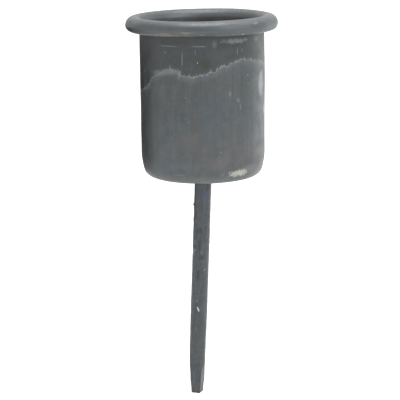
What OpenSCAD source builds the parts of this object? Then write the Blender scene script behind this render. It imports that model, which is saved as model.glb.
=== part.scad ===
// Spike candle holder: a sheet-metal cup with a rolled rim, welded on a round spike.
// Everything is in millimetres. The origin is the middle of the cup's underside,
// +Z runs up the cup's axis, and the spike leans towards -X on its way down.

/* [Cup] */
// Outside diameter of the straight wall
cup_od = 24.6; // [22:0.1:40]
// Thickness of the sheet metal
sheet_t = 0.7; // [0.5:0.05:0.8]
// Height of the middle of the rolled rim above the underside
rim_level = 30; // [15:0.5:60]
// Outside radius of the corner between the wall and the base
corner_r = 1.75; // [1.25:0.25:3]
// Outside radius of the soft draw-in between the straight wall and that corner
draw_in_r = 13; // [8:0.5:20]

/* [Rim] */
// Outside radius of the upper half of the roll, from the mouth outwards
roll_r = 1.7; // [1.6:0.05:2]
// Outside radius of the lower half of the roll, tucked back towards the wall
tuck_r = 1.25; // [1.1:0.05:1.3]
// Angle that the cut edge turns in past the lowest point of the roll, in degrees
tuck_turn = 70; // [30:5:85]

/* [Spike] */
// Diameter of the round rod
spike_d = 3.4; // [2.5:0.1:5]
// Length along the rod from the underside to the blunt point
spike_len = 46.3; // [38:0.1:90]
// Lean of the rod away from the cup's axis, in degrees
spike_lean = 2.5; // [0:0.1:5]
// Length of the four hammered flats at the point
flats_len = 12.3; // [8:0.1:20]
// Slope of each flat towards the rod's axis, in degrees
flats_slope = 3.9; // [2:0.1:4.5]
// Turn of the flats about the rod's axis, in degrees
flats_turn = 23; // [0:1:45]
// Length of the knocked-off edges round the blunt end
end_bevel = 0.25; // [0.1:0.05:0.4]

/* [Weld] */
// Leg of the weld on the base and on the rod
weld_leg = 1.1; // [0.8:0.1:1.5]
// Radius of the weld's rounded face
weld_face_r = 1.6; // [1.2:0.1:3]
// Depth that the rod's top edge is ground back for the weld
prep_depth = 0.5; // [0.3:0.1:0.8]
// Length that it is ground back along the rod, just past the weld
prep_len = 1.25; // [1.2:0.05:1.7]

/* [Hidden] */
$fn = 96;
spin_fn = 144;
cup_r = cup_od / 2;
bore_r = cup_r - sheet_t;
rim_r = bore_r + 2 * roll_r;
spike_r = spike_d / 2;
// The draw-in turns through the small angle of a 7-24-25 triangle, about 16 degrees,
// which puts the places where it meets the wall and the corner at round numbers
draw_in_turn = asin(7 / 25);
wall_foot = corner_r + (draw_in_r - corner_r) * sin(draw_in_turn);
draw_in_x = cup_r - draw_in_r;
corner_x = draw_in_x + (draw_in_r - corner_r) * cos(draw_in_turn);
// The rod and the weld start this far inside the base and are trimmed level with it
trim_over = 0.5;
prep_top_r = spike_r - prep_depth * (1 + trim_over / prep_len);
// How far the middle of the weld's rounded face lies behind its two toes
weld_face_back = sqrt(pow(weld_face_r, 2) - pow(weld_leg, 2) / 2) / sqrt(2);
flats_from = spike_len - flats_len;
bevel_from = spike_len - end_bevel;
bevel_from_r = spike_r - (flats_len - end_bevel) * tan(flats_slope);
bevel_slope = 45;

// Wedge of a flat plane from one angle to another, used to cut arcs out of rings
module wedge(reach, from, to) {
    steps = 6;
    polygon(concat([[0, 0]], [for (i = [0:steps])
        let (a = from + (to - from) * i / steps) [reach * cos(a), reach * sin(a)]]));
}

// Strip of sheet bent to an arc: outside radius, start angle, end angle
module bent_sheet(r, from, to) {
    intersection() {
        difference() {
            circle(r);
            circle(r - sheet_t);
        }
        wedge(2 * r, from, to);
    }
}

// Half section of the cup: flat base, corner, draw-in, straight wall and rolled rim
module cup_section() {
    square([corner_x, sheet_t]);
    translate([corner_x, corner_r]) bent_sheet(corner_r, -90, -draw_in_turn);
    translate([draw_in_x, wall_foot]) bent_sheet(draw_in_r, -draw_in_turn, 0);
    translate([bore_r, wall_foot]) square([sheet_t, rim_level - wall_foot]);
    translate([bore_r + roll_r, rim_level]) bent_sheet(roll_r, 0, 180);
    translate([rim_r - tuck_r, rim_level]) bent_sheet(tuck_r, -90 - tuck_turn, 0);
}

// Frame of the rod: its own +Z runs from the underside of the base down the rod
module down_the_spike() {
    rotate([0, 180 + spike_lean, 0]) children();
}

// Takes away what reaches above the underside of the base
module level_with_base() {
    difference() {
        children();
        translate([-cup_r, -cup_r, 0]) cube([cup_od, cup_od, cup_r]);
    }
}

// Four blocks whose inner faces slope in from a radius and a place on the rod
module four_cuts(from_r, from_z, slope) {
    for (side = [0:3])
        rotate([0, 0, flats_turn + 90 * side])
            translate([from_r, -spike_d, from_z])
                rotate([0, -slope, 0]) cube([spike_d, 2 * spike_d, 2 * flats_len]);
}

module cup_shell() {
    color([0.40, 0.42, 0.43]) rotate_extrude($fn = spin_fn) cup_section();
}

module spike() {
    color([0.35, 0.37, 0.38])
        level_with_base() down_the_spike() difference() {
            rotate_extrude() polygon([
                [0, -trim_over],
                [prep_top_r, -trim_over],
                [spike_r, prep_len],
                [spike_r, spike_len],
                [0, spike_len]
            ]);
            four_cuts(spike_r, flats_from, flats_slope);
            four_cuts(bevel_from_r, bevel_from, bevel_slope);
        }
}

module weld_bead() {
    color([0.47, 0.48, 0.48])
        level_with_base() down_the_spike() rotate_extrude() intersection() {
            polygon([
                [prep_top_r, -trim_over],
                [spike_r, prep_len],
                [spike_r + weld_leg, prep_len],
                [spike_r + weld_leg + trim_over, -trim_over]
            ]);
            translate([spike_r + weld_leg / 2 - weld_face_back, weld_leg / 2 - weld_face_back])
                circle(weld_face_r);
        }
}

cup_shell();
spike();
weld_bead();
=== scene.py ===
from math import atan2, cos, degrees, exp, hypot, pi, radians, sin, tan

import bmesh
import bpy
from mathutils import Matrix, Vector, noise


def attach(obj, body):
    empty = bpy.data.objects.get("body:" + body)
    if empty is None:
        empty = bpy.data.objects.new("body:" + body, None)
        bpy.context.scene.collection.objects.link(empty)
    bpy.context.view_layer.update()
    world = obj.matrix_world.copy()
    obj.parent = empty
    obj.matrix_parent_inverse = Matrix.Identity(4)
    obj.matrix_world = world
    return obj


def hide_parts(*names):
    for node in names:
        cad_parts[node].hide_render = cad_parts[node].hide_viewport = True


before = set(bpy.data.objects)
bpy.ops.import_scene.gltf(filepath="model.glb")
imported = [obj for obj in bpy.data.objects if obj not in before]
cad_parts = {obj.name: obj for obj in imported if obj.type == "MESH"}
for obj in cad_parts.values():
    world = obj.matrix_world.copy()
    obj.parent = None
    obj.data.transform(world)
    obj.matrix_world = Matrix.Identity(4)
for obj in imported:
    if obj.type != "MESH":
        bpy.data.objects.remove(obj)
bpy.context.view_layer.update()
mm = 0.001  # the dictionaries below are in millimetres and degrees
print("frame loaded:", sorted(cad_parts))


# Camera: the photograph's place, found from the outline of the cup and the spike
view = {
    "distance": 300,
    "target": (-0.750, -0.104, -5.468),
    "pitch": 12.582,  # looking down
    "roll": 0.749,
    "lens": 134.17,
}


def makeCamera():
    cam = bpy.data.objects.new("photoCamera", bpy.data.cameras.new("photoCamera"))
    cam.data.lens = view["lens"]
    cam.data.clip_start = 10 * mm
    cam.data.clip_end = 20
    pitch = radians(view["pitch"])
    back = Vector((0, -cos(pitch), sin(pitch))) * view["distance"]
    place = Matrix.Translation((Vector(view["target"]) + back) * mm)
    tilt = Matrix.Rotation(pi / 2 - pitch, 4, "X")
    cam.matrix_world = place @ tilt @ Matrix.Rotation(radians(-view["roll"]), 4, "Z")
    bpy.context.scene.collection.objects.link(cam)
    bpy.context.scene.camera = cam


makeCamera()
print("camera placed")


# Small helpers for meshes

def drawLine(bm, pen, x, z, steps):
    # Extrudes a vertex straight to (x, z) in the plane of the profile
    stride = (Vector((x, 0, z)) - pen.co) / steps
    path = bmesh.ops.spin(bm, geom=[pen], cent=(0, 0, 0), axis=(0, 1, 0), dvec=stride, angle=0, steps=steps)
    return lastVertex(path)


def drawArc(bm, pen, centre, turn, steps):
    # Spins a vertex round a centre in the plane of the profile, anticlockwise seen from -Y
    path = bmesh.ops.spin(bm, geom=[pen], cent=(centre[0], 0, centre[1]), axis=(0, 1, 0),
                          angle=radians(-turn), steps=steps)
    return lastVertex(path)


def lastVertex(path):
    return [part for part in path["geom_last"] if isinstance(part, bmesh.types.BMVert)][0]


def spinFull(bm, steps, axis=(0, 0, 1)):
    bmesh.ops.spin(bm, geom=bm.verts[:] + bm.edges[:], cent=(0, 0, 0), axis=axis,
                   angle=2 * pi, steps=steps, use_merge=True)
    bmesh.ops.remove_doubles(bm, verts=bm.verts, dist=0.002)
    bmesh.ops.recalc_face_normals(bm, faces=bm.faces)


def rough(point, size, seed=0):
    # Smooth random value from about -1 to 1, with lumps of the given size
    return noise.noise(Vector(point) / size + Vector((17.3, 5.1, 9.7)) * (seed + 1))


def finishPiece(bm, name, body, node, material):
    # Everything up to here was in millimetres
    bmesh.ops.scale(bm, vec=(mm, mm, mm), verts=bm.verts)
    mesh = bpy.data.meshes.new(name)
    bm.to_mesh(mesh)
    bm.free()
    mesh.shade_smooth()
    piece = bpy.data.objects.new(name, mesh)
    bpy.context.scene.collection.objects.link(piece)
    piece.data.materials.append(material)
    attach(piece, body)
    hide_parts(node)
    print(name, "made with", len(mesh.polygons), "faces")
    return piece


# Small helpers for materials

def screen(red, green, blue):
    # A colour as a screen shows it, 0 to 255, turned into Blender's linear values
    def straight(value):
        value = value / 255
        return value / 12.92 if value <= 0.04045 else ((value + 0.055) / 1.055) ** 2.4
    return (straight(red), straight(green), straight(blue), 1)


def addNode(tree, kind, **settings):
    node = tree.nodes.new("ShaderNode" + kind)
    for key, value in settings.items():
        setattr(node, key, value)
    return node


def feed(tree, socket, source):
    if isinstance(source, bpy.types.NodeSocket):
        tree.links.new(source, socket)
    else:
        socket.default_value = source


def calc(tree, operation, *terms, clamp=False):
    node = addNode(tree, "Math", operation=operation, use_clamp=clamp)
    for socket, term in zip(node.inputs, terms):
        feed(tree, socket, term)
    return node.outputs[0]


def fade(tree, value, start, end, low=0.0, high=1.0):
    # Smooth step from low at start to high at end
    node = addNode(tree, "MapRange", interpolation_type="SMOOTHSTEP")
    for socket, term in zip(node.inputs, (value, start, end, low, high)):
        feed(tree, socket, term)
    return node.outputs[0]


def mixColor(tree, mask, under, over):
    node = addNode(tree, "Mix", data_type="RGBA")
    feed(tree, node.inputs["Factor"], mask)
    feed(tree, node.inputs[6], under)
    feed(tree, node.inputs[7], over)
    return node.outputs[2]


def lumps(tree, vector, size, detail=2.0, roughness=0.5, seed=0.0):
    # Noise around 0.5 whose lumps have a size in millimetres
    shifted = addNode(tree, "VectorMath", operation="ADD")
    feed(tree, shifted.inputs[0], vector)
    shifted.inputs[1].default_value = (seed, 1.7 * seed, -seed)
    node = addNode(tree, "TexNoise", noise_dimensions="3D")
    feed(tree, node.inputs["Vector"], shifted.outputs[0])
    feed(tree, node.inputs["Scale"], 1 / size)
    feed(tree, node.inputs["Detail"], detail)
    feed(tree, node.inputs["Roughness"], roughness)
    return node.outputs[0]


def stretched(tree, vector, x, y, z):
    node = addNode(tree, "VectorMath", operation="MULTIPLY")
    feed(tree, node.inputs[0], vector)
    node.inputs[1].default_value = (x, y, z)
    return node.outputs[0]


def newGroup(name, inputs, outputs):
    # inputs are names with default values, outputs are names with socket kinds
    tree = bpy.data.node_groups.new(name, "ShaderNodeTree")
    kinds = {float: "NodeSocketFloat", tuple: "NodeSocketVector"}
    for label, value in inputs.items():
        socket = tree.interface.new_socket(label, in_out="INPUT", socket_type=kinds[type(value)])
        socket.default_value = value
    for label, kind in outputs.items():
        tree.interface.new_socket(label, in_out="OUTPUT", socket_type="NodeSocket" + kind)
    return tree, tree.nodes.new("NodeGroupInput"), tree.nodes.new("NodeGroupOutput")


def useGroup(tree, group, **values):
    node = tree.nodes.new("ShaderNodeGroup")
    node.node_tree = group
    for label, value in values.items():
        feed(tree, node.inputs[label.replace("_", " ")], value)
    return node.outputs


# Shader node groups, each built once. Lengths in them are millimetres and angles are degrees

def buildAroundAxis():
    # Where a point lies round an upright axis: 0 degrees faces the photograph's camera
    tree, given, made = newGroup("aroundAxis", {"Place": (0.0, 0.0, 0.0)},
                                 {"Turn": "Float", "Height": "Float", "Radius": "Float"})
    split = addNode(tree, "SeparateXYZ")
    feed(tree, split.inputs[0], given.outputs["Place"])
    x, y, z = split.outputs
    turn = calc(tree, "DEGREES", calc(tree, "ARCTAN2", x, calc(tree, "MULTIPLY", y, -1)))
    squares = calc(tree, "ADD", calc(tree, "MULTIPLY", x, x), calc(tree, "MULTIPLY", y, y))
    feed(tree, made.inputs["Turn"], turn)
    feed(tree, made.inputs["Height"], z)
    feed(tree, made.inputs["Radius"], calc(tree, "SQRT", squares))
    return tree


def buildSpot():
    # Oval mark at a turn and a height, with a ragged edge
    tree, given, made = newGroup(
        "spot",
        {"Turn": 0.0, "Height": 0.0, "Radius": 12.0, "Noise": 0.5, "Spot Turn": 0.0, "Spot Height": 0.0,
         "Half Width": 1.0, "Half Height": 1.0, "Slant": 0.0, "Ragged": 1.0, "Soft": 0.5},
        {"Mask": "Float"})
    of = given.outputs
    apart = calc(tree, "WRAP", calc(tree, "SUBTRACT", of["Turn"], of["Spot Turn"]), 180, -180)
    across = calc(tree, "MULTIPLY", calc(tree, "RADIANS", apart), of["Radius"])
    above = calc(tree, "SUBTRACT", of["Height"], of["Spot Height"])
    across = calc(tree, "SUBTRACT", across, calc(tree, "MULTIPLY", above, of["Slant"]))
    a = calc(tree, "DIVIDE", across, of["Half Width"])
    b = calc(tree, "DIVIDE", above, of["Half Height"])
    far = calc(tree, "SQRT", calc(tree, "ADD", calc(tree, "MULTIPLY", a, a), calc(tree, "MULTIPLY", b, b)))
    uneven = calc(tree, "MULTIPLY", calc(tree, "SUBTRACT", of["Noise"], 0.5), of["Ragged"])
    edge = calc(tree, "SUBTRACT", 1.0, of["Soft"])
    feed(tree, made.inputs["Mask"], fade(tree, calc(tree, "ADD", far, uneven), 1.0, edge))
    return tree


def buildWaterLine(points):
    # Height of the dried water mark round the cup, with its thin fringe and drips above it
    tree, given, made = newGroup("waterLine", {"Turn": 0.0, "Height": 0.0, "Place": (0.0, 0.0, 0.0)},
                                 {"Fringe": "Float", "Haze": "Float", "Below": "Float"})
    of = given.outputs
    curve = addNode(tree, "FloatCurve")
    line = curve.mapping.curves[0]
    for turn, height in points[1:-1]:
        line.points.new((turn + 180) / 360, height / 30)
    for point, (turn, height) in zip(line.points, points):
        point.location = ((turn + 180) / 360, height / 30)
    curve.mapping.update()
    share = calc(tree, "DIVIDE", calc(tree, "ADD", of["Turn"], 180), 360)
    feed(tree, curve.inputs["Value"], share)
    flat = stretched(tree, of["Place"], 1, 1, 0)
    wavy = calc(tree, "MULTIPLY", calc(tree, "SUBTRACT", lumps(tree, flat, 1.1, 3.0, 0.65, 3.0), 0.5), 1.5)
    scallop = calc(tree, "SUBTRACT", lumps(tree, of["Place"], 0.5, 2.0, 0.6, 8.0), 0.5)
    scallop = calc(tree, "MULTIPLY", scallop, 0.9)
    level = calc(tree, "ADD", calc(tree, "MULTIPLY", curve.outputs[0], 30), calc(tree, "ADD", wavy, scallop))
    above = calc(tree, "SUBTRACT", of["Height"], level)
    thread = fade(tree, calc(tree, "ABSOLUTE", above), 0.24, 0.05)
    patchy = fade(tree, lumps(tree, of["Place"], 1.3, 2.0, 0.6, 21.0), 0.42, 0.60)
    reach = calc(tree, "MULTIPLY", fade(tree, lumps(tree, flat, 0.45, 2.0, 0.6, 12.0), 0.56, 0.78), 1.7)
    drip = calc(tree, "MULTIPLY", fade(tree, above, reach, calc(tree, "MULTIPLY", reach, 0.4)),
                fade(tree, above, -0.25, 0.05))
    drip = calc(tree, "MULTIPLY", drip, fade(tree, reach, 0.05, 0.5))
    broken = calc(tree, "MULTIPLY", thread, calc(tree, "ADD", 0.35, patchy))
    fringe = calc(tree, "MAXIMUM", broken, drip, clamp=True)
    feed(tree, made.inputs["Fringe"], fringe)
    feed(tree, made.inputs["Haze"], fade(tree, calc(tree, "ABSOLUTE", calc(tree, "ADD", above, 0.3)), 1.2, 0.0))
    feed(tree, made.inputs["Below"], fade(tree, above, 0.2, -0.3))
    return tree


def buildClouds():
    # Soft uneven tarnish at three sizes, each from 0 to 1
    tree, given, made = newGroup("clouds", {"Place": (0.0, 0.0, 0.0), "Shift": 0.0},
                                 {"Broad": "Float", "Middle": "Float", "Small": "Float"})
    moved = addNode(tree, "VectorMath", operation="ADD")
    feed(tree, moved.inputs[0], given.outputs["Place"])
    feed(tree, moved.inputs[1], given.outputs["Shift"])
    place = moved.outputs[0]
    feed(tree, made.inputs["Broad"], fade(tree, lumps(tree, place, 8.0, 2.0, 0.5, 2.0), 0.3, 0.7))
    feed(tree, made.inputs["Middle"], fade(tree, lumps(tree, place, 2.6, 4.0, 0.6, 5.0), 0.3, 0.7))
    feed(tree, made.inputs["Small"], fade(tree, lumps(tree, place, 0.7, 4.0, 0.65, 9.0), 0.25, 0.75))
    return tree


def buildStreaks():
    # Faint upright brush and run marks
    tree, given, made = newGroup("streaks", {"Place": (0.0, 0.0, 0.0)}, {"Fine": "Float", "Wide": "Float"})
    drawn = stretched(tree, given.outputs["Place"], 1, 1, 0.06)
    feed(tree, made.inputs["Fine"], fade(tree, lumps(tree, drawn, 0.35, 2.0, 0.6, 4.0), 0.3, 0.7))
    feed(tree, made.inputs["Wide"], fade(tree, lumps(tree, drawn, 1.5, 3.0, 0.6, 14.0), 0.35, 0.7))
    return tree


def buildGrain():
    # Fine cast and etched grain of a zinc coat, with scattered pinholes and pale specks
    tree, given, made = newGroup("grain", {"Place": (0.0, 0.0, 0.0)},
                                 {"Relief": "Float", "Speck": "Float", "Pit": "Float"})
    place = given.outputs["Place"]
    feed(tree, made.inputs["Relief"], lumps(tree, place, 0.22, 4.0, 0.7, 6.0))
    cells = addNode(tree, "TexVoronoi", feature="F1")
    feed(tree, cells.inputs["Vector"], place)
    cells.inputs["Scale"].default_value = 0.55
    near = fade(tree, cells.outputs["Distance"], 0.16, 0.05)
    few = addNode(tree, "SeparateColor")
    feed(tree, few.inputs[0], cells.outputs["Color"])
    feed(tree, made.inputs["Speck"], calc(tree, "MULTIPLY", near, fade(tree, few.outputs[0], 0.62, 0.8)))
    feed(tree, made.inputs["Pit"], calc(tree, "MULTIPLY", near, fade(tree, few.outputs[1], 0.72, 0.85)))
    return tree


# Dried water line on the cup: turn and height. Only the front is seen in the photograph
waterPoints = [
    (-180, 20.6), (-140, 19.2), (-105, 17.2), (-80, 17.4), (-66, 18.0), (-51, 20.5), (-41, 21.5), (-33, 22.3),
    (-25, 22.2), (-20, 21.3), (-13, 21.1), (-4, 21.1), (5, 21.5), (10, 21.8), (18, 22.9), (27, 23.4), (38, 23.9),
    (60, 23.4), (85, 22.2), (115, 22.8), (150, 21.4), (180, 20.6),
]

aroundAxis = buildAroundAxis()
spot = buildSpot()
waterLine = buildWaterLine(waterPoints)
clouds = buildClouds()
streaks = buildStreaks()
grain = buildGrain()
print("node groups built")


def startMaterial(name):
    material = bpy.data.materials.new(name)
    material.use_nodes = True
    tree = material.node_tree
    shader = tree.nodes["Principled BSDF"]
    coordinates = addNode(tree, "TexCoord")
    scaled = addNode(tree, "VectorMath", operation="SCALE")
    feed(tree, scaled.inputs[0], coordinates.outputs["Object"])
    scaled.inputs["Scale"].default_value = 1 / mm
    return material, tree, shader, scaled.outputs[0]


def addRelief(tree, shader, height, depth):
    # Height runs from 0 to 1 and depth is in millimetres
    bump = addNode(tree, "Bump")
    bump.inputs["Strength"].default_value = 1.0
    bump.inputs["Distance"].default_value = depth * mm
    feed(tree, bump.inputs["Height"], height)
    feed(tree, shader.inputs["Normal"], bump.outputs["Normal"])


def paintSpots(tree, color, around, noiseValue, marks, tints):
    # Lays each mark over the colour: kind, turn, height, half width, half height, slant, strength
    chalk = None
    for kind, turn, height, halfWidth, halfHeight, slant, strength in marks:
        tint, ragged, soft = tints[kind]
        mask = useGroup(tree, spot, Turn=around["Turn"], Height=around["Height"], Radius=around["Radius"],
                        Noise=noiseValue, Spot_Turn=turn, Spot_Height=height, Half_Width=halfWidth,
                        Half_Height=halfHeight, Slant=slant, Ragged=ragged, Soft=soft)["Mask"]
        mask = calc(tree, "MULTIPLY", mask, strength)
        color = mixColor(tree, mask, color, tint)
        if kind in ("oxide", "chalk"):
            chalk = mask if chalk is None else calc(tree, "MAXIMUM", chalk, mask)
    return color, chalk


# The cup: one sheet, drawn as its bore side from the middle of the floor to the tucked edge
cup = {
    "sheet": 0.7,
    "bore": 11.6,
    "floorEdge": (10.1, 0.7),
    "cornerCentre": (10.1, 1.75),
    "cornerTurn": 73.74,  # the rest of the quarter turn is the soft draw-in
    "drawInCentre": (-0.7, 4.9),
    "drawInTurn": 16.26,
    "rimLevel": 30.0,
    "rollCentre": (13.3, 30.0),
    "tuckCentre": (13.75, 30.0),
    "tuckTurn": 160,
    "around": 216,
    "edgeRound": 0.14,
    "ovality": 0.05,
    "rimTilt": 0.35,  # degrees, down to the left in the photograph
    "bulge": 0.12,  # of the wall on the right
    "beaten": 0.022,  # low waves that the mallet left
    "rimWobble": 0.05,
    "edgeWave": 0.14,
    "waveFrom": -110,  # degrees round the tuck, where the wave begins
    "waveOver": 50,
    "tuckReach": 1.5,
    "tuckGap": 0.3,
    "dents": [  # turn, height, size, depth
        (58, 17.5, 3.2, 0.10), (-33, 9.5, 4.0, 0.07), (12, 5.5, 3.5, 0.05), (118, 12.0, 3.8, 0.11),
        (-128, 20.5, 3.4, 0.09), (172, 7.5, 4.2, 0.08), (-78, 14.0, 3.0, 0.06),
    ],
}


def shapeCup(point):
    # Handwork of the spinner: a slightly oval wall, low mallet waves, dents and an uneven roll
    x, y, z = point
    radius = hypot(x, y)
    if radius < 0.01:
        return Vector(point)
    turn = degrees(atan2(x, -y))
    up = min(max(z / cup["rimLevel"], 0), 1)
    push = cup["ovality"] * up * cos(radians(2 * turn - 50))
    push += cup["beaten"] * (rough((x, y, z), 4.2, 1) + 0.5 * rough((x, y, z), 2.1, 2))
    middle = exp(-((z - 20) / 7) ** 2) * exp(-((turn - 88) / 30) ** 2)
    push += cup["bulge"] * middle
    for dentTurn, dentHeight, size, depth in cup["dents"]:
        apart = radians((turn - dentTurn + 180) % 360 - 180) * radius
        away = (apart ** 2 + (z - dentHeight) ** 2) / size ** 2
        if radius > cup["bore"] - 1 and away < 6:
            push -= depth * exp(-2 * away)
    onRoll = min(max((z - cup["rimLevel"] + 2.5) / 2, 0), 1)
    push += onRoll * cup["rimWobble"] * rough((x, y, 0), 6.0, 3)
    share = min(radius / cup["bore"], 1) ** 2
    x += x / radius * push * share
    y += y / radius * push * share
    z += onRoll * (cup["rimWobble"] * rough((x, y, 0), 7.5, 4) + tan(radians(cup["rimTilt"])) * x)
    if radius < cup["bore"] - 1:
        z += 0.5 * cup["beaten"] * rough((x, y, 0), 3.0, 6)
    return Vector((x, y, z))


def makeCup(material):
    bm = bmesh.new()
    pen = bm.verts.new((0, 0, cup["sheet"]))
    pen = drawLine(bm, pen, *cup["floorEdge"], 10)
    pen = drawArc(bm, pen, cup["cornerCentre"], cup["cornerTurn"], 8)
    pen = drawArc(bm, pen, cup["drawInCentre"], cup["drawInTurn"], 8)
    pen = drawLine(bm, pen, cup["bore"], cup["rimLevel"], 54)
    pen = drawArc(bm, pen, cup["rollCentre"], -180, 30)
    rollEnd = pen.co.copy()
    pen = drawArc(bm, pen, cup["tuckCentre"], -cup["tuckTurn"], 22)
    print("cup profile ends at", [round(value, 3) for value in pen.co], "after the roll at",
          [round(value, 3) for value in rollEnd])
    spinFull(bm, cup["around"])
    for vert in bm.verts:
        vert.co = shapeCup(vert.co)
    waveTuckedEdge(bm)
    faceTheBore(bm)
    bmesh.ops.solidify(bm, geom=bm.faces[:], thickness=cup["sheet"])
    bm.normal_update()
    cut = [edge for edge in bm.edges if len(edge.link_faces) == 2 and edge.calc_face_angle(0) > radians(60)]
    bmesh.ops.bevel(bm, geom=cut, offset=cup["edgeRound"], offset_type="OFFSET", affect="EDGES",
                    segments=2, profile=0.5, material=-1)
    return finishPiece(bm, "cupShell", "root", "cup_shell", material)


def faceTheBore(bm):
    # The sheet grows on the back of its faces, which is the outside of the cup
    bm.normal_update()
    bm.faces.ensure_lookup_table()
    wall = min(bm.faces, key=lambda face: abs(face.calc_center_median().z - cup["rimLevel"] / 2))
    if wall.normal.dot(wall.calc_center_median() * Vector((1, 1, 0))) > 0:
        bmesh.ops.reverse_faces(bm, faces=bm.faces)
    bm.normal_update()


def waveTuckedEdge(bm):
    # The cut edge under the roll wasn't trimmed after it was curled, so it wanders a little
    outward, level = cup["tuckCentre"]
    for vert in bm.verts:
        if not vert.is_boundary and vert.co.z > cup["rimLevel"]:
            continue
        radius = hypot(vert.co.x, vert.co.y)
        inward = atan2(vert.co.z - level, radius - outward)
        reach = hypot(radius - outward, vert.co.z - level)
        if radius < cup["bore"] + cup["tuckGap"] or reach > cup["tuckReach"]:
            continue
        if inward > radians(cup["waveFrom"]):
            continue
        share = min((radians(cup["waveFrom"]) - inward) / radians(cup["waveOver"]), 1)
        x, y, z = vert.co
        slide = cup["edgeWave"] * share * rough((x, y, 0), 2.5, 7)
        vert.co += Vector((-x / radius * slide * 0.3, -y / radius * slide * 0.3, slide))


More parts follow.
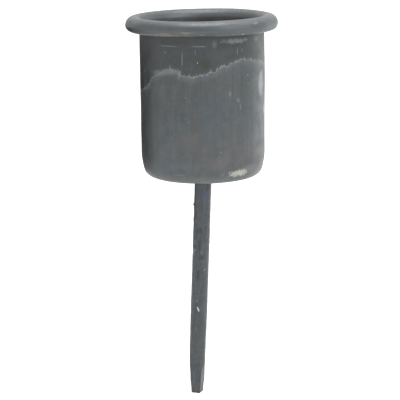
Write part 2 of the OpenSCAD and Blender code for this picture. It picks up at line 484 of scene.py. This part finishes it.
def finishCup():
    material, tree, shader, place = startMaterial("agedZinc")
    around = useGroup(tree, aroundAxis, Place=place)
    turn, height, radius = around["Turn"], around["Height"], around["Radius"]
    cloud = useGroup(tree, clouds, Place=place)
    run = useGroup(tree, streaks, Place=place)
    fine = useGroup(tree, grain, Place=place)
    water = useGroup(tree, waterLine, Turn=turn, Height=height, Place=place)
    ragged = lumps(tree, place, 0.9, 4.0, 0.65, 31.0)

    # Where on the cup: outside of the wall, the roll, the bore
    foot = calc(tree, "MAXIMUM", calc(tree, "SUBTRACT", 4.9, height), 0.0)
    skin = calc(tree, "SUBTRACT", 11.95, calc(tree, "MULTIPLY", calc(tree, "MULTIPLY", foot, foot), 0.05))
    outside = calc(tree, "MAXIMUM", fade(tree, calc(tree, "SUBTRACT", radius, skin), -0.05, 0.05),
                   fade(tree, height, 0.55, 0.45))
    onRoll = calc(tree, "MULTIPLY", fade(tree, height, 28.4, 28.9),
                  calc(tree, "MAXIMUM", fade(tree, radius, 12.55, 12.9), fade(tree, height, 30.2, 31.0)))
    onWall = calc(tree, "MULTIPLY", outside, calc(tree, "SUBTRACT", 1.0, onRoll))

    # Tarnish: grey with blue, warm and olive patches
    color = mixColor(tree, cloud["Broad"], screen(82, 88, 91), screen(90, 90, 91))
    lower = mixColor(tree, cloud["Broad"], screen(90, 97, 100), screen(101, 100, 101))
    color = mixColor(tree, fade(tree, height, 20, 2), color, lower)
    color = mixColor(tree, calc(tree, "MULTIPLY", cloud["Middle"], 0.45), color, screen(80, 87, 88))
    color = mixColor(tree, calc(tree, "MULTIPLY", cloud["Small"], 0.35), color, screen(104, 107, 107))
    color = mixColor(tree, calc(tree, "MULTIPLY", run["Wide"], 0.22), color, screen(108, 112, 114))
    color = mixColor(tree, calc(tree, "MULTIPLY", run["Fine"], 0.16), color, screen(72, 76, 77))

    # Above the water line the wall is darker, with olive patches
    dry = calc(tree, "MULTIPLY", calc(tree, "SUBTRACT", 1.0, water["Below"]), onWall)
    upper = mixColor(tree, cloud["Middle"], screen(68, 70, 71), screen(78, 82, 84))
    upper = mixColor(tree, calc(tree, "MULTIPLY", cloud["Small"], 0.4), upper, screen(88, 89, 86))
    color = mixColor(tree, calc(tree, "MULTIPLY", dry, 0.8), color, upper)
    color, chalk = paintSpots(tree, color, around, ragged, wallMarks, markTints)
    color = mixColor(tree, calc(tree, "MULTIPLY", calc(tree, "MULTIPLY", water["Haze"], onWall), 0.25),
                     color, screen(122, 128, 130))
    fringe = calc(tree, "MULTIPLY", calc(tree, "MULTIPLY", water["Fringe"], onWall), 0.62)
    color = mixColor(tree, fringe, color, screen(150, 154, 156))

    # The roll is rubbed paler along its top; its lower edge and the outer corner of the foot are painted
    # lighter, painted light from below
    rollWearAndPaintedLight = mixColor(tree, cloud["Middle"], screen(92, 99, 103), screen(106, 109, 109))
    crest = fade(tree, calc(tree, "ADD", height, calc(tree, "MULTIPLY", ragged, 0.5)), 31.0, 32.0)
    rollWearAndPaintedLight = mixColor(tree, crest, rollWearAndPaintedLight, screen(142, 144, 144))
    # Painted light: the lower edge of the roll, which faces down, is made lighter as if lit from below
    hemPaintedLight = fade(tree, calc(tree, "ADD", height, calc(tree, "MULTIPLY", ragged, 0.5)), 29.85, 29.2)
    rollWearAndPaintedLight = mixColor(tree, calc(tree, "MULTIPLY", hemPaintedLight, 0.8), rollWearAndPaintedLight, screen(122, 121, 118))
    rollWearAndPaintedLight = mixColor(tree, calc(tree, "MULTIPLY", cloud["Small"], 0.4), rollWearAndPaintedLight, screen(84, 89, 93))
    color = mixColor(tree, calc(tree, "MULTIPLY", onRoll, 0.9), color, rollWearAndPaintedLight)
    # Painted reflection: the band round the foot is paler, as if the white floor shone on it
    cornerPaintedLight = calc(tree, "MULTIPLY", fade(tree, calc(tree, "SUBTRACT", height, ragged), 1.6, 0.0), outside)
    color = mixColor(tree, calc(tree, "MULTIPLY", cornerPaintedLight, 0.6), color, screen(126, 128, 126))
    color = paintSpots(tree, color, around, ragged, rollMarks, markTints)[0]
    color = mixColor(tree, calc(tree, "MULTIPLY", fine["Speck"], 0.35), color, screen(150, 152, 150))
    color = mixColor(tree, calc(tree, "MULTIPLY", fine["Pit"], 0.45), color, screen(58, 60, 60))

    # The bore has its own cloudy tarnish colour
    bore = calc(tree, "SUBTRACT", 1.0, calc(tree, "MAXIMUM", outside, onRoll))
    boreColor = mixColor(tree, cloud["Middle"], screen(96, 99, 102), screen(110, 112, 112))
    color = mixColor(tree, calc(tree, "MULTIPLY", bore, 0.75), color, boreColor)
    feed(tree, shader.inputs["Base Color"], color)

    chalky = calc(tree, "MAXIMUM", chalk, calc(tree, "MULTIPLY", fringe, 0.8))
    feed(tree, shader.inputs["Metallic"], fade(tree, chalky, 0.0, 1.0, 0.78, 0.15))
    dull = calc(tree, "ADD", fade(tree, cloud["Middle"], 0.0, 1.0, 0.43, 0.52),
                calc(tree, "MULTIPLY", chalky, 0.25))
    feed(tree, shader.inputs["Roughness"], dull)
    relief = calc(tree, "MULTIPLY", fine["Relief"], 0.45)
    relief = calc(tree, "ADD", relief, calc(tree, "MULTIPLY", ragged, 0.35))
    relief = calc(tree, "ADD", relief, calc(tree, "MULTIPLY", chalky, 0.5))
    relief = calc(tree, "SUBTRACT", relief, calc(tree, "MULTIPLY", fine["Pit"], 0.4))
    addRelief(tree, shader, relief, 0.035)
    return material


# Marks on the cup: kind, turn, height, half width, half height, slant, strength
markTints = {  # colour, raggedness, softness
    "oxide": (screen(215, 214, 205), 2.2, 0.5),
    "chalk": (screen(150, 155, 157), 1.6, 0.8),
    "pale": (screen(128, 133, 135), 1.0, 0.9),
    "lilac": (screen(140, 140, 143), 0.5, 0.5),
    "olive": (screen(72, 74, 62), 0.8, 0.9),
    # "dark" on the cup is painted shade under the roll
    "dark": (screen(60, 62, 64), 0.8, 0.9),
    "ochre": (screen(140, 136, 108), 1.2, 0.9),
    # "shade" is painted shade on the front face of the roll
    "shade": (screen(88, 93, 97), 0.8, 0.9),
    "blue": (screen(86, 97, 104), 0.6, 1.0),
    "warm": (screen(104, 102, 102), 0.6, 1.0),
}
wallMarks = [
    ("blue", 8, 12.5, 3.0, 7.0, 0.0, 0.6),
    ("warm", -14, 8.0, 4.0, 4.5, 0.0, 0.6),
    ("warm", 12, 4.0, 5.0, 2.4, 0.0, 0.5),
    ("blue", -38, 3.4, 2.6, 3.0, 0.0, 0.5),
    # Painted shade: two dark bands under the overhang of the roll
    ("dark", 22, 27.0, 5.0, 1.4, 0.0, 0.35),
    ("dark", -30, 27.6, 5.5, 0.8, 0.0, 0.25),
    ("olive", 3, 23.4, 1.4, 1.4, 0.0, 0.75),
    ("olive", 26, 24.8, 1.6, 0.9, 0.3, 0.5),
    ("olive", -20, 24.3, 2.4, 1.3, 0.0, 0.3),
    ("chalk", 31, 27.7, 3.3, 0.62, 0.0, 0.75),
    ("chalk", 58, 27.6, 1.4, 0.7, 0.0, 0.4),
    ("pale", 11, 27.2, 0.7, 1.1, 0.0, 0.4),
    ("chalk", -30, 26.85, 2.9, 0.12, 0.0, 0.55),
    ("chalk", -2, 26.9, 1.9, 0.22, 0.0, 0.5),
    ("chalk", -18, 24.6, 0.16, 2.1, 0.04, 0.65),
    ("chalk", -20.4, 21.6, 0.17, 1.5, 0.35, 0.75),
    ("chalk", -6, 25.9, 0.14, 0.8, 0.0, 0.4),
    ("chalk", 33, 25.7, 0.14, 0.9, 0.0, 0.5),
    ("chalk", 38, 25.8, 0.14, 0.7, 0.0, 0.35),
    ("oxide", -4.2, 23.8, 0.12, 0.22, 0.0, 0.8),
    ("chalk", -35, 25.6, 0.3, 0.3, 0.0, 0.5),
    ("pale", -42, 21.6, 2.8, 0.8, 0.5, 0.6),
    ("pale", -30, 22.0, 2.6, 0.7, 0.0, 0.55),
    ("pale", -58, 18.6, 1.2, 0.9, 0.0, 0.4),
    ("chalk", -15.2, 17.0, 0.26, 0.26, 0.0, 0.6),
    ("chalk", -15.5, 13.1, 0.2, 0.2, 0.0, 0.45),
    ("chalk", -12.8, 12.4, 0.22, 0.2, 0.0, 0.45),
    ("pale", 25, 17.7, 0.45, 0.75, 0.0, 0.5),
    ("pale", 33.5, 16.2, 0.55, 0.7, -0.3, 0.55),
    ("pale", 36.2, 14.9, 0.35, 0.8, -0.1, 0.5),
    ("lilac", 68, 18.8, 1.5, 3.3, 0.0, 0.85),
    ("lilac", 77, 13.4, 0.9, 1.3, 0.0, 0.8),
    ("oxide", 34, 1.9, 2.9, 0.75, 0.0, 0.7),
    ("oxide", 38, 2.0, 1.1, 0.5, 0.2, 0.8),
    ("pale", 46, 2.4, 3.4, 1.3, 0.3, 0.45),
    ("pale", -22, 1.9, 1.7, 0.2, 0.0, 0.5),
    ("pale", 2, 0.35, 2.1, 0.5, 0.0, 0.8),
]
rollMarks = [
    ("ochre", -28, 29.2, 3.6, 0.5, 0.0, 0.6),
    ("ochre", -12, 29.2, 2.6, 0.5, 0.0, 0.4),
    # Painted shade on the front face of the roll
    ("shade", 2, 29.3, 3.4, 0.6, 0.0, 0.7),
    ("shade", 24, 30.6, 3.6, 0.8, 0.0, 0.5),
    ("shade", -10, 30.6, 6.0, 0.5, 0.0, 0.35),
    ("chalk", -11, 29.72, 1.8, 0.13, 0.0, 0.7),
    ("chalk", 0, 29.3, 1.2, 0.12, 0.0, 0.5),
    ("chalk", -33, 28.98, 3.6, 0.16, 0.0, 0.5),
    ("chalk", 20, 29.05, 5.6, 0.22, 0.0, 0.4),
    ("oxide", 32, 29.1, 0.3, 0.16, 0.0, 0.7),
    ("chalk", 44, 31.0, 0.9, 0.3, 0.0, 0.6),
    ("pale", 36, 31.2, 4.0, 0.5, 0.0, 0.5),
    ("pale", -60, 31.0, 3.0, 0.6, 0.0, 0.5),
]

zinc = finishCup()
makeCup(zinc)


# The spike: a round rod hammered to four flats at the point. Its own axis runs down from the underside
rod = {
    "radius": 1.7,
    "length": 46.3,
    "lean": 2.5,
    "groundBack": 0.5,  # at the very top, for the weld
    "groundLength": 1.25,
    "around": 72,
    "rings": 190,
    "endRound": 0.25,
    "creaseRound": 0.07,
    "flats": [  # direction, start, depth at the start, slope, hollow
        (23, 34.0, 0.0, 4.35, 0.02), (113, 34.5, 0.0, 3.95, 0.02), (203, 40.6, 0.22, 3.9, 0.02),
        (293, 34.4, 0.0, 4.1, 0.03), (188, 27.0, 0.0, 0.75, 0.01),
    ],
    "lumps": [  # direction round the rod, distance down it, size, height
        (12, 6.5, 0.42, 0.20), (318, 8.4, 0.5, 0.09), (322, 7.4, 0.35, 0.07), (335, 15.2, 0.9, 0.07),
        (300, 12.0, 0.6, -0.05), (285, 16.5, 0.5, -0.06), (150, 21.0, 0.8, 0.05), (70, 11.5, 0.8, 0.07),
    ],
    "pitted": 0.035,
    "wavy": 0.03,
    "waveSize": 2.421,
    "trimOver": 0.4,  # the rod and the weld start this far inside the base
}


def alongRod():
    # Turns the rod's own frame, whose Z runs down the rod, into the object's frame
    return Matrix.Rotation(radians(180 + rod["lean"]), 4, "Y")


def rodRadius(direction, down):
    # Distance from the rod's axis to its skin, with the flats blended in by a soft minimum
    reach = rod["radius"]
    if down < rod["groundLength"]:
        reach -= rod["groundBack"] * (1 - down / rod["groundLength"])
    soft = rod["creaseRound"]
    for facing, start, depth, slope, hollow in rod["flats"]:
        apart = cos(radians(direction - facing))
        if apart < 0.3 or down < start - 0.8:
            continue
        run = down - start
        flat = rod["radius"] - depth - tan(radians(slope)) * run
        flat -= hollow * sin(run * 1.9)
        limit = flat / apart
        if run < 0:
            limit += -run * 1.2
        blend = min(max((reach - limit) / soft * 0.5 + 0.5, 0), 1)
        reach = reach * (1 - blend) + limit * blend - soft * blend * (1 - blend)
    spot = Vector((cos(radians(direction)) * reach, sin(radians(direction)) * reach, down))
    coarse = exp(-((down - 12) / 7) ** 2)
    reach += rod["pitted"] * (0.35 + coarse) * (rough(spot, 0.9, 11) + 0.5 * rough(spot, 0.45, 12))
    reach += rod["wavy"] * rough(spot, rod["waveSize"], 13)
    for facing, at, size, height in rod["lumps"]:
        apart = radians((direction - facing + 180) % 360 - 180) * rod["radius"]
        away = (apart ** 2 + (down - at) ** 2) / size ** 2
        if away < 6:
            reach += height * exp(-2 * away)
    over = down - (rod["length"] - rod["endRound"])
    if over > 0:
        reach -= rod["endRound"] * (1 - (1 - (over / rod["endRound"]) ** 2) ** 0.5)
    return reach


def makeSpike(material):
    bm = bmesh.new()
    ring = bmesh.ops.create_circle(bm, segments=rod["around"], radius=1, cap_ends=False)["verts"]
    edges = list({edge for vert in ring for edge in vert.link_edges})
    start = -rod["trimOver"]
    stride = (rod["length"] - start) / rod["rings"]
    bmesh.ops.translate(bm, vec=(0, 0, start), verts=ring)
    drawn = bmesh.ops.spin(bm, geom=ring + edges, cent=(0, 0, 0), axis=(0, 0, 1), dvec=(0, 0, stride),
                           angle=0, steps=rod["rings"])
    last = [part for part in drawn["geom_last"] if isinstance(part, bmesh.types.BMEdge)]
    cap = bmesh.ops.contextual_create(bm, geom=last)["faces"]
    for vert in bm.verts:
        direction = degrees(atan2(vert.co.y, vert.co.x))
        reach = rodRadius(direction, vert.co.z)
        vert.co = Vector((cos(radians(direction)) * reach, sin(radians(direction)) * reach, vert.co.z))
    for inset in (0.12, 0.25, 0.25):
        bmesh.ops.inset_region(bm, faces=cap, thickness=inset, depth=0)
    bmesh.ops.poke(bm, faces=cap)
    for vert in bm.verts:  # the blunt end is a little crowned and rough
        if vert.co.z > rod["length"] - 0.01:
            middle = hypot(vert.co.x, vert.co.y)
            vert.co.z += 0.05 * rough(vert.co, 0.6, 15) - 0.03 * middle
    bmesh.ops.transform(bm, matrix=alongRod(), verts=bm.verts)
    trimLevel(bm)
    bmesh.ops.recalc_face_normals(bm, faces=bm.faces)
    return finishPiece(bm, "spikeRod", "root", "spike", material)


def trimLevel(bm):
    # Cuts off what reaches above the underside of the base and closes the cut
    bmesh.ops.bisect_plane(bm, geom=bm.verts[:] + bm.edges[:] + bm.faces[:], plane_co=(0, 0, 0),
                           plane_no=(0, 0, 1), clear_outer=True)
    cutEdges = [edge for edge in bm.edges if edge.is_boundary]
    bmesh.ops.holes_fill(bm, edges=cutEdges, sides=0)


def rodCoordinates(tree, place):
    # The place in the rod's own frame, upright, with its top at the underside of the cup
    turned = addNode(tree, "Mapping", vector_type="POINT")
    feed(tree, turned.inputs["Vector"], place)
    turned.inputs["Rotation"].default_value = (0, radians(-rod["lean"]), 0)
    return turned.outputs[0]


rodTints = {
    "oxide": (screen(205, 210, 212), 1.2, 0.5),
    "chalk": (screen(136, 142, 147), 1.4, 0.8),
    "pale": (screen(120, 124, 127), 1.0, 0.9),
    "dark": (screen(62, 66, 69), 1.6, 0.8),
    "green": (screen(84, 88, 82), 1.0, 0.9),
    "blue": (screen(88, 95, 108), 0.8, 0.9),
    "warm": (screen(98, 94, 90), 1.0, 0.9),
}
rodMarks = [
    ("blue", 15, -4.5, 1.4, 1.8, 0.0, 0.8),
    ("warm", -50, -5.0, 0.8, 2.0, 0.0, 0.5),
    ("dark", -48, -8.6, 0.55, 0.9, 0.0, 0.7),
    ("dark", -62, -6.6, 0.4, 0.6, 0.0, 0.6),
    ("dark", -8, -11.4, 0.75, 1.0, 0.0, 0.65),
    ("dark", -35, -11.4, 0.5, 0.8, 0.0, 0.5),
    ("dark", -12, -14.2, 0.55, 1.7, 0.0, 0.55),
    ("dark", 2, -17.2, 1.0, 0.8, 0.4, 0.5),
    ("dark", -16, -20.6, 0.5, 1.7, 0.0, 0.65),
    ("warm", -48, -14.0, 0.5, 1.0, 0.0, 0.6),
    ("chalk", -66, -16.1, 0.7, 0.9, 0.0, 0.8),
    ("chalk", -44, -15.6, 0.2, 0.5, -0.4, 0.5),
    ("chalk", 2, -16.0, 0.16, 0.35, 0.0, 0.6),
    ("chalk", 30, -19.6, 0.35, 0.5, 0.2, 0.5),
    ("dark", 12, -24.0, 0.25, 2.4, 0.15, 0.35),
    ("chalk", -18, -26.2, 0.4, 0.35, 0.0, 0.35),
    ("oxide", -7, -27.9, 0.19, 0.62, -0.38, 0.95),
    ("green", -34, -30.5, 0.8, 2.6, 0.0, 0.7),
    ("green", -10, -33.0, 0.9, 3.0, 0.0, 0.5),
    ("pale", -20, -32.2, 0.16, 1.0, 0.0, 0.4),
    ("pale", 46, -29.5, 0.16, 4.5, 0.0, 0.45),
    ("pale", 62, -36.6, 0.3, 4.0, 0.0, 0.6),
    ("dark", -18, -40.2, 0.5, 0.6, 0.0, 0.4),
    ("pale", 45, -42.8, 0.6, 3.4, 0.0, 0.5),
]


def finishSpike():
    material, tree, shader, place = startMaterial("darkRod")
    place = rodCoordinates(tree, place)
    around = useGroup(tree, aroundAxis, Place=place)
    cloud = useGroup(tree, clouds, Place=place, Shift=40.0)
    run = useGroup(tree, streaks, Place=place)
    fine = useGroup(tree, grain, Place=place)
    ragged = lumps(tree, place, 0.6, 4.0, 0.65, 51.0)
    color = mixColor(tree, cloud["Broad"], screen(80, 84, 88), screen(86, 88, 89))
    color = mixColor(tree, calc(tree, "MULTIPLY", cloud["Middle"], 0.4), color, screen(94, 98, 101))
    color = mixColor(tree, calc(tree, "MULTIPLY", cloud["Small"], 0.45), color, screen(70, 74, 77))
    color = mixColor(tree, calc(tree, "MULTIPLY", run["Fine"], 0.25), color, screen(110, 113, 116))
    color = paintSpots(tree, color, around, ragged, rodMarks, rodTints)[0]
    low = fade(tree, calc(tree, "ADD", around["Height"], calc(tree, "MULTIPLY", ragged, 1.4)), -44.2, -45.6)
    rust = mixColor(tree, cloud["Small"], screen(104, 92, 84), screen(84, 76, 70))
    color = mixColor(tree, calc(tree, "MULTIPLY", low, 0.75), color, rust)
    feed(tree, shader.inputs["Base Color"], color)
    feed(tree, shader.inputs["Metallic"], calc(tree, "SUBTRACT", 0.72, calc(tree, "MULTIPLY", low, 0.5)))
    dull = fade(tree, cloud["Small"], 0.0, 1.0, 0.42, 0.56)
    feed(tree, shader.inputs["Roughness"], calc(tree, "ADD", dull, calc(tree, "MULTIPLY", low, 0.15)))
    relief = calc(tree, "MULTIPLY", fine["Relief"], 0.6)
    relief = calc(tree, "ADD", relief, calc(tree, "MULTIPLY", ragged, 0.5))
    addRelief(tree, shader, relief, 0.05)
    return material


darkRod = finishSpike()
makeSpike(darkRod)


# The weld: a rippled bead round the top of the rod
weld = {
    "leg": 1.1,
    "face": 1.6,
    "inside": 1.35,
    "around": 150,
    "ripples": 17,
    "rippleHeight": 0.07,
    "unevenness": 0.10,
}


def makeWeld(material):
    bm = bmesh.new()
    reach = rod["radius"] + weld["leg"]
    back = (weld["face"] ** 2 - weld["leg"] ** 2 / 2) ** 0.5 / 2 ** 0.5
    centre = (rod["radius"] + weld["leg"] / 2 - back, weld["leg"] / 2 - back)
    wide = 2 * degrees(atan2(weld["leg"] / 2 ** 0.5, (weld["face"] ** 2 - weld["leg"] ** 2 / 2) ** 0.5))
    first = bm.verts.new((weld["inside"], 0, -rod["trimOver"]))
    pen = drawLine(bm, first, reach, -rod["trimOver"], 3)
    pen = drawLine(bm, pen, reach, 0, 1)
    pen = drawArc(bm, pen, centre, wide, 12)
    pen = drawLine(bm, pen, weld["inside"], pen.co.z, 2)
    pen = drawLine(bm, pen, weld["inside"], -rod["trimOver"], 3)
    spinFull(bm, weld["around"])
    for vert in bm.verts:
        radius = hypot(vert.co.x, vert.co.y)
        if radius > rod["radius"] + 0.05:
            turn = atan2(vert.co.y, vert.co.x)
            curl = abs(sin(weld["ripples"] / 2 * turn + 0.8 * vert.co.z))
            push = weld["rippleHeight"] * (curl - 0.6) + weld["unevenness"] * rough((*vert.co.xy, 0), 1.6, 21)
            vert.co.x *= 1 + push / radius
            vert.co.y *= 1 + push / radius
            if vert.co.z > 0.05:
                vert.co.z += 0.6 * push
    bmesh.ops.transform(bm, matrix=alongRod(), verts=bm.verts)
    trimLevel(bm)
    bmesh.ops.recalc_face_normals(bm, faces=bm.faces)
    return finishPiece(bm, "weldBead", "root", "weld_bead", material)


def finishWeld():
    material, tree, shader, place = startMaterial("weldMetal")
    cloud = useGroup(tree, clouds, Place=place, Shift=80.0)
    fine = useGroup(tree, grain, Place=place)
    color = mixColor(tree, cloud["Middle"], screen(112, 116, 118), screen(126, 128, 128))
    color = mixColor(tree, calc(tree, "MULTIPLY", cloud["Small"], 0.5), color, screen(92, 90, 86))
    feed(tree, shader.inputs["Base Color"], color)
    shader.inputs["Metallic"].default_value = 0.75
    feed(tree, shader.inputs["Roughness"], fade(tree, cloud["Small"], 0.0, 1.0, 0.40, 0.58))
    addRelief(tree, shader, fine["Relief"], 0.05)
    return material


weldMetal = finishWeld()
makeWeld(weldMetal)


# Studio: a white floor and sky, a soft key from the front right, a top light, a weak light
# from behind on the right, and a dark card on the left
studio = {
    "floor": -190,
    "floorSize": 6000,
    "shadowReach": (220, 400),  # the floor's glow is full beyond this
    "nearLift": 0.5,
    "world": 0.5,
    "cardColor": 0.02,
}
lamps = [  # name, place, aim, width, height, strength in watts
    ("key", (400, -330, 300), (0, 0, 0), 300, 340, 0.9),
    ("top", (20, -60, 460), (0, 0, 20), 360, 300, 0.9),
    ("rearRight", (400, 260, 60), (0, 0, 0), 300, 420, 0.4),
]
cards = [  # name, middle, width, height
    ("cardLeft", (-62, 52, -2), 92, 50),
]


def aimAt(place, target):
    return (Vector(place) - Vector(target)).to_track_quat("Z", "Y").to_matrix().to_4x4()


def makeLamps():
    for name, place, aim, width, height, power in lamps:
        light = bpy.data.lights.new(name, "AREA")
        light.shape = "RECTANGLE"
        light.size, light.size_y = width * mm, height * mm
        light.energy = power
        lamp = bpy.data.objects.new(name, light)
        lamp.matrix_world = Matrix.Translation(Vector(place) * mm) @ aimAt(place, aim)
        bpy.context.scene.collection.objects.link(lamp)


def makeSheet(name, middle, width, height, facing, material):
    bm = bmesh.new()
    bmesh.ops.create_grid(bm, x_segments=4, y_segments=4, size=0.5)
    bmesh.ops.scale(bm, vec=(width * mm, height * mm, 1), verts=bm.verts)
    bmesh.ops.transform(bm, matrix=Matrix.Translation(Vector(middle) * mm) @ facing, verts=bm.verts)
    mesh = bpy.data.meshes.new(name)
    bm.to_mesh(mesh)
    bm.free()
    sheet = bpy.data.objects.new(name, mesh)
    sheet.data.materials.append(material)
    bpy.context.scene.collection.objects.link(sheet)
    return sheet


def seenWhite(tree):
    # 1 for rays that see the background itself or its reflection
    path = addNode(tree, "LightPath")
    seen = calc(tree, "MAXIMUM", path.outputs["Is Camera Ray"], path.outputs["Is Glossy Ray"])
    return calc(tree, "MAXIMUM", seen, path.outputs["Is Transmission Ray"])


def makeWorld():
    world = bpy.data.worlds.new("studioWorld")
    bpy.context.scene.world = world
    world.use_nodes = True
    tree = world.node_tree
    sky = tree.nodes["Background"]
    sky.inputs["Color"].default_value = (1, 1, 1, 1)
    feed(tree, sky.inputs["Strength"], fade(tree, seenWhite(tree), 0.0, 1.0, studio["world"], 1.0))


def makeStage():
    paper = bpy.data.materials.new("whitePaper")
    paper.use_nodes = True
    tree = paper.node_tree
    shader = tree.nodes["Principled BSDF"]
    shader.inputs["Base Color"].default_value = (0.8, 0.8, 0.8, 1)
    shader.inputs["Roughness"].default_value = 0.9
    glow = addNode(tree, "Emission")
    coordinates = addNode(tree, "TexCoord")
    away = addNode(tree, "VectorMath", operation="LENGTH")
    feed(tree, away.inputs[0], coordinates.outputs["Object"])
    near, far = studio["shadowReach"]
    lift = fade(tree, away.outputs["Value"], near * mm, far * mm, studio["nearLift"], 1.0)
    feed(tree, glow.inputs["Strength"], calc(tree, "MULTIPLY", lift, seenWhite(tree)))
    both = addNode(tree, "AddShader")
    feed(tree, both.inputs[0], shader.outputs[0])
    feed(tree, both.inputs[1], glow.outputs[0])
    feed(tree, tree.nodes["Material Output"].inputs["Surface"], both.outputs[0])
    size = studio["floorSize"]
    floor = makeSheet("floor", (0, 0, 0), size, size, Matrix.Identity(4), paper)
    floor.location.z = studio["floor"] * mm
    black = bpy.data.materials.new("blackCard")
    black.use_nodes = True
    shader = black.node_tree.nodes["Principled BSDF"]
    shader.inputs["Base Color"].default_value = (studio["cardColor"],) * 3 + (1,)
    shader.inputs["Roughness"].default_value = 0.9
    for name, middle, width, height in cards:
        card = makeSheet(name, middle, width, height, aimAt(middle, (0, 0, middle[2])), black)
        card.visible_camera = False
        card.visible_shadow = False


makeLamps()
makeWorld()
makeStage()
bpy.context.scene.view_settings.view_transform = "Standard"
print("studio lit")
